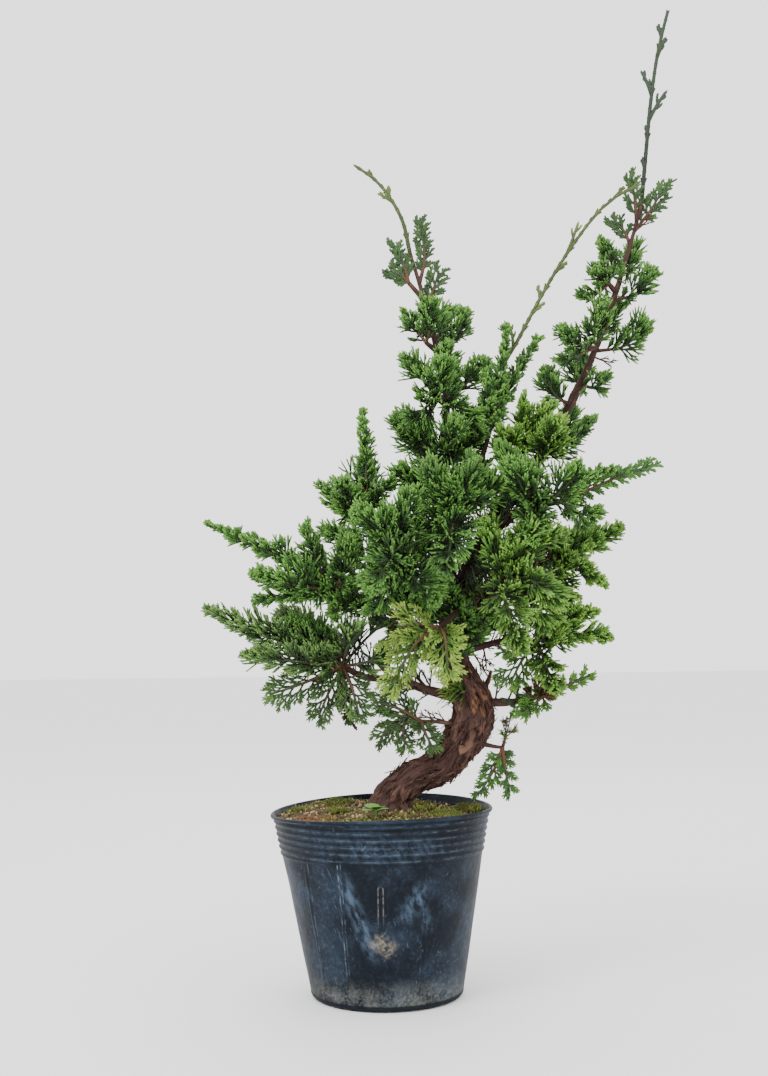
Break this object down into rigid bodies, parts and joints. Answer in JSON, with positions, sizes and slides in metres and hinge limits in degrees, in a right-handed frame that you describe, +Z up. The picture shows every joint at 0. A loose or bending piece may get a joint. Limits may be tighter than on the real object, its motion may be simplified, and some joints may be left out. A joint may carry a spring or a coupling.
{
  "type": "potted juniper bonsai tree",
  "caption": "Young upright itoigawa juniper with a short stout trunk, two leaning leaders, tufted scale foliage and wild shoots, growing in a tapered ribbed black nursery pot.",
  "frame": {"origin": "centre of the pot's flat underside", "axes": "+Z up along the tree's height, +X to the side that the tree leans to, the viewer's right, and +Y to its back"},
  "size_m": [0.2612, 0.1439, 0.545],
  "materials": {
    "pot": "soft satin black vinyl, ribbed, scratched and dusty",
    "soil": "loose granular soil with moss between the grains",
    "bark": "fibrous flaking reddish-brown bark",
    "foliage": "matt scale leaves on cord-like branchlets",
    "runner": "smooth young shoot with small scale leaves",
    "moss": "soft moss pile",
    "weed": "smooth seedling leaves"
  },
  "bodies": {
    "root": {"pot": "pot", "soil": "soil", "trunk_and_branches": "bark", "moss_left": "moss", "moss_right": "moss", "moss_edge": "moss", "weed": "weed", "foliage_back_left": "foliage", "foliage_back_low": "foliage", "foliage_back_middle": "foliage", "foliage_back_right": "foliage", "foliage_bottom_left": "foliage", "foliage_front_hanging": "foliage", "foliage_front_left": "foliage", "foliage_front_middle": "foliage", "foliage_front_right": "foliage", "foliage_left_apex": "foliage", "foliage_left_base_a": "foliage", "foliage_left_base_b": "foliage", "foliage_left_high": "foliage", "foliage_left_low": "foliage", "foliage_left_lower_a": "foliage", "foliage_left_lower_b": "foliage", "foliage_left_lower_c": "foliage", "foliage_left_lower_d": "foliage", "foliage_left_middle_a": "foliage", "foliage_left_middle_b": "foliage", "foliage_left_middle_c": "foliage", "foliage_left_tip_a": "foliage", "foliage_left_tip_b": "foliage", "foliage_left_tip_c": "foliage", "foliage_left_upper_a": "foliage", "foliage_left_upper_b": "foliage", "foliage_left_upper_c": "foliage", "foliage_right_base_a": "foliage", "foliage_right_base_b": "foliage", "foliage_right_base_c": "foliage", "foliage_right_base_d": "foliage", "foliage_right_bottom": "foliage", "foliage_right_front": "foliage", "foliage_right_low": "foliage", "foliage_right_lower_a": "foliage", "foliage_right_lower_b": "foliage", "foliage_right_lower_c": "foliage", "foliage_right_middle_a": "foliage", "foliage_right_middle_b": "foliage", "foliage_right_middle_c": "foliage", "foliage_right_stub": "foliage", "foliage_right_tip_a": "foliage", "foliage_right_tip_b": "foliage", "foliage_right_tip_c": "foliage", "foliage_right_tips": "foliage", "foliage_right_upper_a": "foliage", "foliage_right_upper_b": "foliage", "foliage_right_upper_c": "foliage", "foliage_right_wide": "foliage", "runner_left": "runner", "runner_middle": "runner", "runner_right": "runner"}
  },
  "joints": []
}
